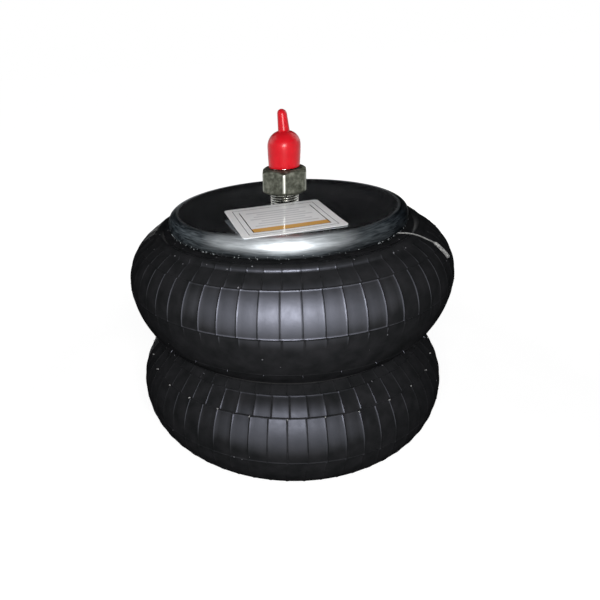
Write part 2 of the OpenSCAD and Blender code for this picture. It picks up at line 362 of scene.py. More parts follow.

# %% [markdown]
# ## Where the rubber shines
# Rubber has a refractive index of about 1.52, and its specular level sets how much of that shine is left.
# The specular level is a painted highlight: it is high where the skin faces the lens and the flash lamp, on
# the lower half only in one band, and a little lower near the collar. The flanks get almost none, which
# paints them darker, and the back gets some again. The grain is finer than a pixel, so it is drawn a little
# coarser.

# %% Rubber: shine
UPPER_HIGHLIGHT_AIM = (-0.125, -0.9, 0.415)
LOWER_HIGHLIGHT_AIM = (-0.147, -0.9, 0.41)
UPPER_SHINE = (0.835, 0.975, 0.92)
LOWER_SHINE = (0.895, 0.985, 0.54)
BACK_SHINE = (0.0, 0.75, 0.5)
BACKWARDS = (0, 1, 0)
BAND_RISE = (48.0, 63.0, 0.25, 1.0)
BAND_FALL = (74.0, 88.0, 1.0, 0.25)
COLLAR_FALL = (*COLLAR_Z, 1.0, COLLAR_SHARE)
normal = add(tree, "NewGeometry").outputs["Normal"]
# Painted highlight: the shine follows how far the normal turns towards the lens and the flash lamp.
upper = facing(tree, normal, UPPER_HIGHLIGHT_AIM, *UPPER_SHINE)
lower = facing(tree, normal, LOWER_HIGHLIGHT_AIM, *LOWER_SHINE)
back = facing(tree, normal, BACKWARDS, *BACK_SHINE)
rise, fall, collar = (
    add(tree, "MapRange", {"Value": height, 1: low * MM, 2: high * MM, 3: first, 4: last},
        interpolation_type="SMOOTHSTEP")
    for low, high, first, last in (BAND_RISE, BAND_FALL, COLLAR_FALL))
band = add(tree, "Math MULTIPLY", {0: rise, 1: fall})
lower_shine = add(tree, "Math MULTIPLY", {0: lower, 1: band})
upper_shine = add(tree, "Math MULTIPLY", {0: upper, 1: collar})
on_upper = add(tree, "Math GREATER_THAN", {0: height, 1: WAIST_Z * MM})
front_shine = add(tree, "Mix", {0: on_upper, 2: lower_shine, 3: upper_shine})
shine = add(tree, "Math MAXIMUM", {0: front_shine, 1: back})
grain = add(tree, "TexNoise", {"Vector": place, "Scale": per_metre(0.9), "Detail": 3})
pits = add(tree, "Bump", {"Height": grain, "Strength": 0.25, "Distance": 0.12 * MM})
feed(shader, {"Base Color": dusty, "Roughness": sheen, "IOR": 1.52, "Specular IOR Level": shine,
              "Specular Tint": linear("#E6EAFF"), "Normal": pits})
print("finish:", rubber.name)

# %% [markdown]
# ## Mould marks
# The mould is made of rings and has vent grooves in it, so the rubber comes out with thin raised ribs
# that run over the bulge, and with a raised line at each joint between rings. The ribs step a little
# sideways at those joints. On the upper half they fade out below the crown. A round collar, the top of a
# sunken bead, stands a little outside the plate's rim. All of this is real relief, so these helpers say
# how high each mark stands at a distance along the skin from the crown.

# %% Relief of the covers
RIB_COUNT = 58
RIB_H = 0.26
RIB_W = 0.4
RIB_ENDS = {1: (-7.0, 41.0), -1: (-58.0, 48.0)}
RIB_FADE = 6.0
RIB_START = {1: math.radians(-3.9), -1: math.radians(-2.8)}
RING_LINES = (-43.6, -29.4, 0.0, 27.3)
RING_SHIFTS = np.radians((0.0, 0.9, 0.0, -0.5, 0.1))
RING_H = 0.26
RING_W = 0.32
COLLAR_RISE = 2.0
COLLAR_W = 7.0
COLLAR_GAP = 3.0
COLLAR_R = (COLLAR_RISE ** 2 + COLLAR_W ** 2 / 4) / (2 * COLLAR_RISE)
COLLAR_REACH = SHOULDER_R + COLLAR_RISE - COLLAR_R
COLLAR_MIDDLE = SHOULDER_R * math.acos((PLATE_R + COLLAR_GAP + COLLAR_R - SHOULDER_X) / COLLAR_REACH)


def skin_place(along):
    """Section point and outward direction at a distance along the skin from the crown, shoulder positive."""
    along = np.asarray(along, float)
    on_flank = along < 0
    size = np.where(on_flank, FLANK_R, SHOULDER_R)
    turn = along / size
    outward = np.stack([np.cos(turn), np.sin(turn)], axis=-1)
    centre = np.stack([np.where(on_flank, FLANK_X, SHOULDER_X), np.full_like(along, CROWN_RISE)], axis=-1)
    return centre + size[..., None] * outward, outward


def hump(distance, width):
    """A smooth ridge of height 1, about three widths across."""
    return np.exp(-(distance / width) ** 2)


def ease(value):
    """0 below 0 and 1 above 1, and a smooth step between."""
    share = np.clip(value, 0, 1)
    return share * share * (3 - 2 * share)


def between(value, low, high, edge):
    """1 between two limits and 0 outside them, with soft edges of that width."""
    return ease((value - low) / edge + 0.5) * ease((high - value) / edge + 0.5)


def collar_lift(along):
    """How far the round collar stands out of the shoulder."""
    turn = (along - COLLAR_MIDDLE) / SHOULDER_R
    within = np.maximum(COLLAR_R ** 2 - (COLLAR_REACH * np.sin(turn)) ** 2, 0)
    return np.maximum(COLLAR_REACH * np.cos(turn) + np.sqrt(within) - SHOULDER_R, 0)


print("mould marks:", RIB_COUNT, "ribs,", len(RING_LINES), "ring lines")

# %% [markdown]
# ## Turned skins
# Nearly every piece here was turned, pressed or moulded round one axis. So one helper makes all the
# meshes: it takes rows of points that run round the piece and joins each row to the next by quads.
# A second one turns a flat outline about the axis.

# %% Mesh helpers
SHARP_ANGLE = math.radians(38)


def skin(name, grids, ring=True):
    """A mesh from grids of points in mm. Each row runs round the piece; ring joins the last to the first."""
    points, quads, first = [], [], 0
    for grid in grids:
        rows, columns, _ = grid.shape
        corner = first + np.arange(rows * columns).reshape(rows, columns)
        above = np.roll(corner, -1, axis=0)
        cells = np.stack([corner, np.roll(corner, -1, 1), np.roll(above, -1, 1), above], axis=-1)
        quads += (cells if ring else cells[:-1]).reshape(-1, 4).tolist()
        points += (grid.reshape(-1, 3) * MM).tolist()
        first += rows * columns
    mesh = bpy.data.meshes.new(name)
    mesh.from_pydata(points, [], quads)
    work = bmesh.new()
    work.from_mesh(mesh)
    bmesh.ops.remove_doubles(work, verts=work.verts, dist=1e-8)
    bmesh.ops.recalc_face_normals(work, faces=work.faces)
    work.to_mesh(mesh)
    work.free()
    mesh.shade_smooth()
    mesh.set_sharp_from_angle(angle=SHARP_ANGLE)
    piece = bpy.data.objects.new(name, mesh)
    bpy.context.scene.collection.objects.link(piece)
    return piece


def turned(radius, azimuth, height):
    """Points at a radius, azimuth and height. Azimuth 0 faces the front, and grows towards +X."""
    x, y = radius * np.sin(azimuth), -radius * np.cos(azimuth)
    return np.stack(np.broadcast_arrays(x, y, height), axis=-1)


def round_axis(outline, azimuth):
    """Rows of points that turn (radius, height) points about the axis."""
    radius, height = np.asarray(outline, float).T[:, :, None]
    return turned(radius, azimuth, height)


def dress(piece, material):
    """Gives a piece its finish."""
    piece.data.materials.clear()
    piece.data.materials.append(material)


print("edges over", round(math.degrees(SHARP_ANGLE)), "degrees stay sharp")

# %% [markdown]
# ## Two covers
# Columns of points stand close together at each rib, and rows at each line and over the collar. The lower
# half carries the weight of the upper one and sags a little.

# %% Covers
COVER_T = 2.0
SAG_H = 0.9
SAG_SPAN = 16.0
ROW_STEP = 1.6
ROW_LEAST = 0.12
COLLAR_ROWS = 15
LINE_ROWS = (-0.9, -0.5, -0.25, 0, 0.25, 0.5, 0.9)
RIB_COLUMNS = (-0.95, -0.5, -0.26, 0, 0.26, 0.5, 0.95)
PANEL_COLUMNS = 3
GROOVE_STEPS = 6
INNER_STEPS = 12
SIDES = {"upper": 1, "lower": -1}


def cover(name, side):
    """The outer rubber of one half with its relief; side is 1 above the waist and -1 below it."""
    rib_step = 2 * np.pi / RIB_COUNT
    rib_edges = RIB_COLUMNS[-1] / BULGE_R, rib_step + RIB_COLUMNS[0] / BULGE_R
    panel = np.linspace(*rib_edges, PANEL_COLUMNS + 2)[1:-1]
    offsets = np.concatenate([np.array(RIB_COLUMNS) / BULGE_R, panel])
    azimuth = (np.arange(RIB_COUNT)[:, None] * rib_step + offsets).ravel() + RIB_START[side]
    rib = np.tile(hump(offsets * BULGE_R, RIB_W) * (offsets < panel[0]), RIB_COUNT)

    first = math.radians(lip_angles(0)[1]) * FLANK_R
    last = SHOULDER_R * math.pi / 2
    lines = np.add.outer(RING_LINES, LINE_ROWS).ravel()
    rounded = COLLAR_MIDDLE + COLLAR_W / 2 * np.linspace(-1, 1, COLLAR_ROWS)
    rows = np.concatenate([np.arange(first, last, ROW_STEP), lines, rounded, [last]])
    along = np.unique(np.round(rows, 3))
    along = along[np.concatenate([[True], np.diff(along) > ROW_LEAST])]
    points, outward = skin_place(along)
    lift = collar_lift(along)
    if side < 0:
        lift = lift + SAG_H * np.sin(np.clip((along - RING_LINES[1]) / SAG_SPAN, -1, 2) * np.pi / 2)
    lift = lift + RING_H * sum(hump(along - line, RING_W) for line in RING_LINES)
    ribs = RIB_H * between(along, *RIB_ENDS[side], RIB_FADE)
    relief = lift[:, None] + ribs[:, None] * rib
    raised = points[:, None, :] + relief[..., None] * outward[:, None, :]
    shift = RING_SHIFTS[np.searchsorted(RING_LINES, along)]

    groove = round_axis(groove_part(0, GROOVE_STEPS)[:-1], azimuth)
    outer = turned(raised[..., 0], azimuth + shift[:, None], raised[..., 1])
    neck = round_axis(neck_part(0), azimuth)
    inner = round_axis(section(COVER_T, INNER_STEPS)[::-1], azimuth)
    grid = np.concatenate([groove, outer, neck, inner])
    grid[..., 2] = WAIST_Z + side * grid[..., 2]
    return skin(name, [grid])


def stretch(piece, side):
    """Bakes the placement of a layer of one half into its mesh."""
    if side > 0:
        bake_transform(piece)
    else:
        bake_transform(piece)


for half_name, side in SIDES.items():
    piece = cover(f"{half_name}_ribbed_cover", side)
    dress(piece, rubber)
    stretch(piece, side)
    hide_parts(f"{half_name}_cover")
    print(piece.name, len(piece.data.polygons), "faces")

# %% [markdown]
# ## Vent nibs
# Where a vent hole opened into the mould, the rubber ran in and tore off, and left a short nib on every
# second rib. A tube that follows a line of points makes it. The torn ends on the lower half and on the
# whisker hold talc, which is dusted into the mould, and look grey.

# %% Nibs
NIB_R = 0.5
NIB_SUNK = 0.4
NIB_LENGTHS = (0.7, 1.7)
NIB_TAPER = (1.0, 0.9, 0.6)
NIB_MIDDLE = 0.6
NIB_STRAY = 0.3
NIB_SLIDE = 0.6
NIB_BEND = 0.4
NIB_EVERY = 2
NIB_FIRST = {1: 0, -1: 1}
TUBE_SIDE = (0.31, 0.17, 0.93)


def on_skin(along, azimuth, lift, side):
    """A point in mm on one half's skin, raised by lift."""
    point, outward = skin_place(along)
    radius, height = point + lift * outward
    return turned(radius, azimuth, WAIST_Z + side * height)


def even(columns):
    """Evenly spaced azimuths once round the axis."""
    return np.arange(columns) * 2 * np.pi / columns


def tube(path, radii, columns=10):
    """Rings of points round a path, closed to a point at both ends."""
    path = np.array(path, float)
    along = np.gradient(path, axis=0)
    along /= np.linalg.norm(along, axis=1, keepdims=True)
    across = np.cross(along, TUBE_SIDE)
    across /= np.linalg.norm(across, axis=1, keepdims=True)
    other = np.cross(along, across)
    turn = even(columns)[:, None]
    rings = [p + r * (np.cos(turn) * a + np.sin(turn) * o) for p, r, a, o in zip(path, radii, across, other)]
    ends = [np.tile(path[i], (columns, 1)) for i in (0, -1)]
    return np.stack([ends[0], *rings, ends[1]])


grey_rubber, tree, shader, place = finish("talc_dusted_rubber")
_, tone = mottled(tree, place, 1.2, [(0.35, "#5A5A5A"), (0.65, "#9A9A98")])
feed(shader, {"Base Color": tone, "Roughness": 0.6, "IOR": 1.52})

chance = random.Random(11)
for half_name, side in SIDES.items():
    nibs = []
    for k in range(NIB_FIRST[side], RIB_COUNT, NIB_EVERY):
        azimuth = RIB_START[side] + k * 2 * math.pi / RIB_COUNT
        azimuth += math.radians(chance.uniform(-NIB_STRAY, NIB_STRAY))
        along = RING_LINES[1] + chance.uniform(-NIB_SLIDE, NIB_SLIDE)
        tip = chance.uniform(*NIB_LENGTHS)
        foot = on_skin(along, azimuth, -NIB_SUNK, side)
        middle = on_skin(along, azimuth, tip * NIB_MIDDLE, side)
        top = on_skin(along + chance.uniform(-NIB_BEND, NIB_BEND), azimuth, tip, side)
        nibs.append(tube([foot, middle, top], [NIB_R * share for share in NIB_TAPER]))
    piece = skin(f"{half_name}_vent_nibs", nibs, ring=False)
    dress(piece, rubber if side > 0 else grey_rubber)
    stretch(piece, side)
print("nibs on each half:", len(nibs))

# %% [markdown]
# ## A torn whisker
# One vent let go of a long thread of rubber. It lies over the shoulder on the right, thin at first and then
# thicker. Its stops give the distance along the skin, the azimuth in degrees and the height above the skin.

# %% Whisker
WHISKER_STOPS = np.array([
    (50.4, 47.1, 2.6), (47.0, 48.8, 2.8), (44.0, 50.3, 2.8), (41.0, 51.8, 2.5), (38.2, 53.2, 1.9),
    (35.4, 54.5, 1.4), (32.8, 55.6, 1.2), (30.7, 56.3, 1.2), (25.3, 56.8, 1.2), (19.1, 57.6, 1.2)])
WHISKER_R = (0.38, 0.38, 1.05, 1.05)
WHISKER_R_STOPS = (0, 6.4, 7.2, 9)
WHISKER_POINTS = 55
fine = np.linspace(0, len(WHISKER_STOPS) - 1, WHISKER_POINTS)
line = [np.interp(fine, np.arange(len(WHISKER_STOPS)), column) for column in WHISKER_STOPS.T]
path = [on_skin(along, math.radians(turn), clear, 1) for along, turn, clear in zip(*line)]
whisker = skin("torn_vent_whisker", [tube(path, np.interp(fine, WHISKER_R_STOPS, WHISKER_R))], ring=False)
dress(whisker, grey_rubber)
stretch(whisker, 1)
print("whisker", len(whisker.data.vertices), "points")

# %% [markdown]
# ## The layers inside
# Under the cover lie two plies of rubber-coated cord and an airtight liner. They are hidden, but when the
# bellows strokes they have to move with the cover. Each is turned again from the same section. Cord shows as
# fine parallel stripes about a millimetre apart.
# At scale 1 the waves of a wave texture are tau / 20 of a metre long.

# %% Plies and liners
BOND_GAP = 0.1
PLY_T = 0.9
LINER_T = 1.6
CORD_SPACING = 1.1
CORD_ANGLE = math.radians(40)
LAYER_COLUMNS = 128
LAYER_STEPS = 16

cord, tree, shader, place = finish("rubber_coated_cord")
lay = add(tree, "Mapping", {"Vector": place, "Rotation": (0, 0, CORD_ANGLE)})
stripes = add(tree, "TexWave", {"Vector": lay, "Scale": per_metre(CORD_SPACING) * math.tau / 20,
                                "Distortion": 0.4}).outputs["Fac"]
tone = add(tree, "ValToRGB", {"Fac": stripes}, stops=[(0.25, "#4A3D2B"), (0.7, "#9A8460")])
weave = add(tree, "Bump", {"Height": stripes, "Strength": 0.5, "Distance": 0.2 * MM})
feed(shader, {"Base Color": tone, "Roughness": 0.75, "Normal": weave})

liner_rubber, tree, shader, place = finish("matt_liner_rubber")
_, tone = mottled(tree, place, 6, [(0.3, "#1E1E20"), (0.7, "#2B2B2E")], detail=5)
feed(shader, {"Base Color": tone, "Roughness": 0.7, "IOR": 1.52})

outer_in = COVER_T + BOND_GAP
inner_in = outer_in + PLY_T + BOND_GAP
liner_in = inner_in + PLY_T + BOND_GAP
LAYERS = {
    "outer_ply": (outer_in, PLY_T, cord, "cord_ply"),
    "inner_ply": (inner_in, PLY_T, cord, "cord_ply"),
    "liner": (liner_in, LINER_T, liner_rubber, "liner_rubber"),
}
for half_name, side in SIDES.items():
    for layer, (start, thickness, material, slot) in LAYERS.items():
        outer, inner = (section(inset, LAYER_STEPS) for inset in (start, start + thickness))
        outline = np.concatenate([outer, inner[::-1]])
        grid = round_axis(outline, even(LAYER_COLUMNS))
        grid[..., 2] = WAIST_Z + side * grid[..., 2]
        piece = skin(f"{half_name}_moulded_{layer}", [grid])
        dress(piece, material)
        stretch(piece, side)
        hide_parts(f"{half_name}_{layer}")
print("layers:", list(LAYERS))

# %% [markdown]
# ## Where light and shade are painted on the zinc
# The bead plates are drawn from sheet steel and zinc plated bright. Zinc is a bluish white metal. Handling
# scuffs it, so its gloss changes from place to place. The flat face mirrors the room. The crimping rolls
# have brushed the rim. Its tone is painted light: a painted highlight on its upper part at the front, where
# the rim's zone also starts further in, and painted shade on its sides, darkest on the right. The back keeps
# a plainer tone.

# %% Zinc: painted light and shade
RIM_DULL = (73.0, 75.5)
RIM_FRONT = 66.0
RIM_HIGHLIGHT_FRONT = (-0.2, -0.98, 0)
RIM_HIGHLIGHT_ABOVE = (168.0, 174.5)
RIM_SHADE_SIDE = (1, 0, 0)
RIM_HIGHLIGHT_SPAN = (0.79, 0.985)
RIM_SHADE_SPAN = (0.45, 0.8)
REAR_SPAN = (-0.1, 0.4)


def off_axis(tree, place):
    """How far a place lies from the axis, and the level direction out to it."""
    across = add(tree, "VectorMath MULTIPLY", {0: place, 1: (1, 1, 0)})
    distance = add(tree, "VectorMath LENGTH", {0: across})
    return distance, add(tree, "VectorMath NORMALIZE", {0: across})


zinc, tree, shader, place = finish("bright_zinc_plated_steel")
axes = add(tree, "SeparateXYZ", {"Vector": place}).outputs
from_axis, ahead = off_axis(tree, place)
# Painted light on the rim: a highlight where it faces the front, shade on its sides and darker shade on the
# right.
front_facing = facing(tree, ahead, RIM_HIGHLIGHT_FRONT, *RIM_HIGHLIGHT_SPAN)
right_shade = facing(tree, ahead, RIM_SHADE_SIDE, *RIM_SHADE_SPAN)
rear = facing(tree, ahead, BACKWARDS, *REAR_SPAN)
rim_start = add(tree, "MapRange", {"Value": front_facing, 3: RIM_DULL[0] * MM, 4: RIM_FRONT * MM})
crimped = add(tree, "MapRange", {"Value": from_axis, 1: rim_start, 2: RIM_DULL[1] * MM})
highlight_top = add(tree, "MapRange", {"Value": axes["Z"], 1: RIM_HIGHLIGHT_ABOVE[0] * MM, 2: RIM_HIGHLIGHT_ABOVE[1] * MM},
                 interpolation_type="SMOOTHSTEP")
front_highlight = add(tree, "Math MULTIPLY", {0: front_facing, 1: highlight_top})
front_or_rear = add(tree, "Math MAXIMUM", {0: front_facing, 1: rear})
sides_shaded = add(tree, "Math SUBTRACT", {0: 1.0, 1: front_or_rear})
rim_sides_shaded = add(tree, "Math MULTIPLY", {0: sides_shaded, 1: crimped})
print("rim dull from", RIM_DULL[0], "mm, at the front from", RIM_FRONT, "mm")

# %% [markdown]
# ## Zinc on pressed steel
# Brush marks run round the rim, so the noise for its streaks is stretched along the rim. A brushed metal
# spreads a highlight across the brush marks: that is what the shader's anisotropic setting does, with a
# tangent that runs round the axis. The rim's tones are painted light: bright at the front, dark on its sides
# and darker on the right. The shader's specular tint paints the sides darker still, as it lowers how much
# they mirror at a flat angle. A metal keeps the shader's own refractive index, and its colour is its
# reflection.

# %% Zinc: tones and gloss
STREAK_H = 0.9
STREAK_STRETCH = 9.0
RIM_TONES = {
    "dull": [(0.35, "#2E3235"), (0.68, "#5E6468")],
    "right_shade": [(0.35, "#282B2E"), (0.68, "#44484B")],
    "bare": [(0.35, "#7A8084"), (0.68, "#A6ACB0")],
    "front_highlight": [(0.3, "#C0C6CA"), (0.7, "#E4E9EC")],
}
behind = add(tree, "Math MULTIPLY", {0: axes["Y"], 1: -1.0})
azimuth = add(tree, "Math ARCTAN2", {0: axes["X"], 1: behind})
round_rim = add(tree, "Math MULTIPLY", {0: azimuth, 1: PLATE_R * MM / STREAK_STRETCH})
brushed = add(tree, "CombineXYZ", {"X": round_rim, "Y": from_axis, "Z": axes["Z"]})
streak = add(tree, "TexNoise", {"Vector": brushed, "Scale": per_metre(STREAK_H), "Detail": 4})
tones = {name: add(tree, "ValToRGB", {"Fac": streak}, stops=stops)
         for name, stops in RIM_TONES.items()}
_, tone = mottled(tree, place, 14, [(0.3, "#90969B"), (0.7, "#B0B6BA")], detail=7, roughness=0.6)
# Painted light: the sides take a shaded tone, the right a darker one, the front a highlight tone.
rim_tone = tones["dull"]
for share, light_and_wear in ((right_shade, "right_shade"), (rear, "bare"), (front_highlight, "front_highlight")):
    rim_tone = add(tree, "Mix", {0: share, 6: rim_tone, 7: tones[light_and_wear]}, data_type="RGBA")
tone = add(tree, "Mix", {0: crimped, 6: tone, 7: rim_tone}, data_type="RGBA")

rub = add(tree, "TexNoise", {"Vector": place, "Scale": per_metre(2.2), "Detail": 8, "Distortion": 1.5})
flat_gloss = add(tree, "MapRange", {"Value": rub, 1: 0.4, 2: 0.75, 3: 0.12, 4: 0.24})
rim_gloss = add(tree, "MapRange", {"Value": streak, 1: 0.3, 2: 0.7, 3: 0.50, 4: 0.60})
gloss = add(tree, "Mix", {0: crimped, 2: flat_gloss, 3: rim_gloss})
brush = add(tree, "MapRange", {"Value": crimped, 3: 0.0, 4: 0.63})
# Painted shade: a grey specular tint on the rim's sides.
side_shade_tint = add(tree, "Mix", {0: rim_sides_shaded, 6: linear("#FFFFFF"), 7: linear("#6A6A6A")}, data_type="RGBA")
uneven = add(tree, "MapRange", {"Value": crimped, 3: 0.05, 4: 0.15})
dents = add(tree, "Bump", {"Height": streak, "Strength": uneven, "Distance": 0.05 * MM})
brush_line = add(tree, "Tangent", direction_type="RADIAL", axis="Z")
feed(shader, {"Base Color": tone, "Metallic": 1.0, "Roughness": gloss,
              "Specular Tint": side_shade_tint, "Anisotropic": brush, "Anisotropic Rotation": 0.25,
              "Tangent": brush_line, "Normal": dents})
print("finish:", zinc.name)

# %% [markdown]
# ## The upper bead plate
# A flat disc, very slightly dished by the press, ends in a rounded rim. The skirt below the rim draws in a
# little and then curls under the bead of the bellows. It is one sheet of even thickness, so its outline is
# drawn along the outside and back along the inside. The lower plate hardly shows and keeps its CAD shape.

# %% Upper plate
PLATE_T = 2.3
RIM_ROUND = 5.5
CURL_ROUND = 3.0
DISH = 0.35
DISH_R = 58.0
SKIRT_WAIST = 0.3
PLATE_COLUMNS = 256
STUD_R = 9.525
HOLE_GAP = 0.05
FACE_RINGS = (20, 40, 50)
rim_x, rim_z = PLATE_R - RIM_ROUND, FACE_Z - RIM_ROUND
curl_x, curl_z = PLATE_R - CURL_ROUND, RIM_Z + CURL_ROUND
lip_r = PLATE_R - LIP_REACH


def dished(radius):
    """Height of the plate's upper face at a radius."""
    return FACE_Z - DISH * (1 - ease((np.asarray(radius, float) - DISH_R) / (rim_x - DISH_R)))


face_r = np.concatenate([[STUD_R + HOLE_GAP, *FACE_RINGS], np.linspace(DISH_R, rim_x, 13)])
face = np.stack([face_r, dished(face_r)], axis=-1)
skirt_mid = [[PLATE_R - SKIRT_WAIST, (rim_z + curl_z) / 2]]
outside = [face, arc(rim_x, rim_z, RIM_ROUND, 90, 0, 14)[1:], skirt_mid,
           arc(curl_x, curl_z, CURL_ROUND, 0, -90, 10), [[lip_r, RIM_Z]]]
inside = [[[lip_r, RIM_Z + PLATE_T]], arc(curl_x, curl_z, CURL_ROUND - PLATE_T, -90, 0, 5),
          arc(rim_x, rim_z, RIM_ROUND - PLATE_T, 0, 90, 8), (face - [0, PLATE_T])[-2::-1]]
outline = np.concatenate(outside + inside)
upper_plate = skin("upper_pressed_plate", [round_axis(outline, even(PLATE_COLUMNS))])
dress(upper_plate, zinc)
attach(upper_plate, "upper_end")
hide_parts("upper_bead_plate")
dress(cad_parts["lower_bead_plate"], zinc)
print("plate:", len(upper_plate.data.polygons), "faces")

# %% [markdown]
# ## Frozen zinc
# Zinc ran down the skirt in the bath and froze in small beads along its lower edge. They cooled with a
# rough grey skin, so they don't sparkle as the plate does.

# %% Zinc beads
BEAD_COUNT = 240
BEAD_SIZES = (0.12, 0.45)
BEAD_LENGTHS = (0.2, 0.8)
BEAD_LEAN = 0.3
BEAD_SUNK = 0.3
BEAD_TAPER = (0.6, 1.0, 0.7)
BEAD_TURNS = (-62, -8)
BEAD_RARITY = 4
chance = random.Random(5)
beads = []
for _ in range(BEAD_COUNT):
    azimuth, turn = chance.uniform(-math.pi, math.pi), math.radians(chance.uniform(*BEAD_TURNS))
    size = BEAD_SIZES[0] + (BEAD_SIZES[1] - BEAD_SIZES[0]) * chance.random() ** BEAD_RARITY
    length = chance.uniform(*BEAD_LENGTHS)
    top = turned(curl_x + CURL_ROUND * math.cos(turn), azimuth, curl_z + CURL_ROUND * math.sin(turn))
    drop = turned(BEAD_LEAN, azimuth, -length)
    path = [top - drop * BEAD_SUNK, top, top + drop]
    beads.append(tube(path, [size * share for share in BEAD_TAPER], columns=8))
zinc_beads = skin("frozen_zinc_beads", beads, ring=False)
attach(zinc_beads, "upper_end")

drip, tree, shader, place = finish("frozen_zinc_drip")
_, tone = mottled(tree, place, 1.5, [(0.35, "#4C5052"), (0.65, "#94989A")])
feed(shader, {"Base Color": tone, "Metallic": 1.0, "Roughness": 0.6, "Specular Tint": linear("#7A7A7A")})
dress(zinc_beads, drip)
print("zinc beads:", len(beads))

# %% [markdown]
# ## The threaded stud
# The stud carries a unified fine thread of 16 turns to the inch outside and a pipe thread of 18 turns to
# the inch in its air port. A thread is a ridge whose height depends on how far up the helix a point lies,
# so the skin helper can make it from one formula.

# %% Stud
INCH = 25.4
STUD_PITCH = INCH / 16
PORT_PITCH = INCH / 18
THREAD_SHARE = 0.61
ROOT_FLAT = 0.25
CREST_FLAT = 0.125
ROWS_PER_TURN = 10
STUD_COLUMNS = 72
STUD_CHAMFER = 1.2
PORT_R = 5.56
PORT_DEPTH = 15.0
PASSAGE_R = 3.0
DRILL_POINT = 0.6
stud_low, stud_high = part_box("air_stud")
stud_foot, stud_top = stud_low.z / MM, stud_high.z / MM
flange_r = stud_high.x / MM
under_plate = FACE_Z - PLATE_T


def thread(crest_r, depth, pitch, low, high):
    """Radii and heights of a right-hand thread's rows; a negative depth cuts it into a hole's wall."""
    rows = int(abs(high - low) / pitch * ROWS_PER_TURN)
    height = np.linspace(low, high, rows)[:, None] + 0 * even(STUD_COLUMNS)
    swing = np.abs((height / pitch - even(STUD_COLUMNS) / (2 * np.pi)) % 1.0 - 0.5) * 2
    ridge = np.clip((swing - ROOT_FLAT) / (1 - ROOT_FLAT - CREST_FLAT), 0, 1)
    return crest_r - depth * (1 - ridge), height


shank_r, shank_z = thread(STUD_R, THREAD_SHARE * STUD_PITCH, STUD_PITCH, under_plate, stud_top)
shank_r = np.minimum(shank_r, STUD_R - STUD_CHAMFER + (stud_top - shank_z))
port_r, port_z = thread(PORT_R, -THREAD_SHARE * PORT_PITCH, PORT_PITCH, stud_top, stud_top - PORT_DEPTH)
port_r = np.minimum(port_r, STUD_R - 2 * STUD_CHAMFER)
cone_end = stud_top - PORT_DEPTH - DRILL_POINT * (PORT_R - PASSAGE_R)
azimuth = even(STUD_COLUMNS)
stud = skin("threaded_air_stud", [np.concatenate([
    round_axis([[PASSAGE_R, stud_foot], [flange_r, stud_foot], [flange_r, under_plate]], azimuth),
    turned(shank_r, azimuth, shank_z),
    turned(port_r, azimuth, port_z),
    round_axis([[PASSAGE_R, cone_end]], azimuth),
])])
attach(stud, "upper_end")
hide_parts("air_stud")
print("stud:", len(stud.data.polygons), "faces")

# %% [markdown]
# ## Zinc on the thread
# The same bright zinc as on the plate covers the thread. Its roots are painted dark as shade, and its crests
# are rubbed bright, so its colour follows the distance from the axis.

# %% Stud finish
ROOT_SHADE_R = (8.6, 9.3)
bright_thread, tree, shader, place = finish("bright_zinc_thread")
cloud, crest_tone = mottled(tree, place, 3, [(0.3, "#D0D0C9"), (0.7, "#E8E8E2")], detail=5)
from_axis, _ = off_axis(tree, place)
on_crest = add(tree, "MapRange", {"Value": from_axis, 1: ROOT_SHADE_R[0] * MM, 2: ROOT_SHADE_R[1] * MM})
# Painted shade: the roots of the thread are made dark.
tone = add(tree, "Mix", {0: on_crest, 6: linear("#2E2E2B"), 7: crest_tone}, data_type="RGBA")
gloss = add(tree, "MapRange", {"Value": cloud, 1: 0.3, 2: 0.7, 3: 0.2, 4: 0.3})
feed(shader, {"Base Color": tone, "Metallic": 1.0, "Roughness": gloss})
dress(stud, bright_thread)
print("finish:", bright_thread.name)

# %% [markdown]
# ## The hexagon nut
# A nut is a hexagon with both ends turned to a cone. Each point of its skin is as far out as the nearest
# of those faces lets it be. Taking a soft minimum instead of a hard one rounds the edges a few tenths of a
# millimetre, as forging and tumbling do.

# %% Nut
NUT_AF = 28.575
NUT_FACE_R = 12.7
NUT_SLOPE = math.radians(31)
NUT_TURN = math.radians(-9.5)
NUT_GAP = 0.075
NUT_CONE_H = 3.2
NUT_MOUTH = 0.8
NUT_COLUMNS = 240
EDGE_SOFTNESS = 2.8
LEAST_COSINE = 0.2
nut_low, nut_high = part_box("stud_nut")
nut_foot, nut_top = nut_low.z / MM, nut_high.z / MM
nut_h = nut_top - nut_foot

azimuth = even(NUT_COLUMNS)
ends = np.linspace(0, NUT_CONE_H, 17)
rows = np.concatenate([ends, np.linspace(NUT_CONE_H, nut_h - NUT_CONE_H, 6)[1:-1], nut_h - ends[::-1]])
flat_turns = [NUT_TURN + math.radians(30 + 60 * k) for k in range(6)]
limits = [NUT_AF / 2 / np.maximum(np.cos(azimuth - turn), LEAST_COSINE) for turn in flat_turns]
limits += [(NUT_FACE_R + from_end / math.tan(NUT_SLOPE))[:, None] for from_end in (rows, nut_h - rows)]
nut_r = -np.log(sum(np.exp(-EDGE_SOFTNESS * limit) for limit in limits)) / EDGE_SOFTNESS
hole_r = STUD_R + NUT_GAP
hole_rows = round_axis([[hole_r + NUT_MOUTH, nut_top], [hole_r, nut_top - NUT_MOUTH],
                        [hole_r, nut_foot + NUT_MOUTH], [hole_r + NUT_MOUTH, nut_foot]], azimuth)
flank_rows = turned(nut_r, azimuth, nut_foot + rows[:, None])
nut = skin("hexagon_stud_nut", [np.concatenate([flank_rows, hole_rows])])
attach(nut, "nut")
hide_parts("stud_nut")
print("nut:", round(nut_h, 2), "mm high")

